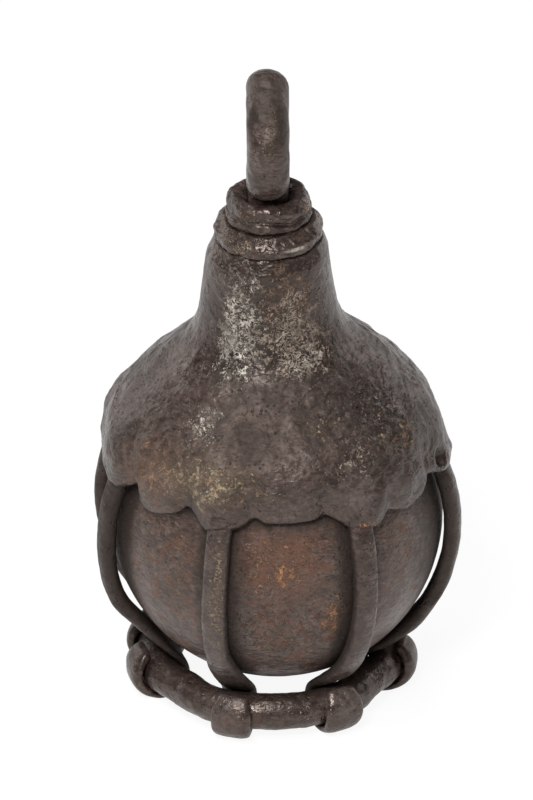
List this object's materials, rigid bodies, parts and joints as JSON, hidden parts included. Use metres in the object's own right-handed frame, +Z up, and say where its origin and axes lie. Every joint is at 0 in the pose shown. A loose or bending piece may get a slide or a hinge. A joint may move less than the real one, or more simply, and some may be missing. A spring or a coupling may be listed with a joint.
{
  "type": "steelyard weight",
  "caption": "Iron ball caught in a forged cage of bars between a base ring and a bell-shaped hood, with a collared neck and an eye that hangs it from a steelyard's beam.",
  "frame": {"origin": "on the surface the weight stands on, directly under the ball's centre", "axes": "+Z up through the ball's centre to the eye, -Y towards the viewer of the picture, +X to that viewer's right, so the eye's hole runs along X"},
  "size_m": [0.1169, 0.1136, 0.2198],
  "materials": {
    "ball_iron": "worn brown iron with rust blooms",
    "cage_iron": "forged bars, dark satin patina",
    "hood_iron": "pitted dark patina with bare bright pits",
    "collar_iron": "worn dark patina",
    "eye_iron": "smooth dark patina, polished by handling"
  },
  "bodies": {
    "cage": {"base_ring": "cage_iron", "rod_left": "cage_iron", "rod_front_left": "cage_iron", "rod_front_right": "cage_iron", "rod_right": "cage_iron", "rod_back_right": "cage_iron", "rod_back": "cage_iron", "rod_back_left": "cage_iron", "hood": "hood_iron", "neck_band": "collar_iron", "top_bead": "collar_iron", "eye": "eye_iron", "burr_washer": "eye_iron"},
    "ball": {"ball": "ball_iron"}
  },
  "joints": [
    {"name": "ball_turn", "type": "hinge", "parent": "cage", "child": "ball", "pos_m": [0, 0, 0.06066], "axis": [0, 0, 1], "continuous": true}
  ]
}
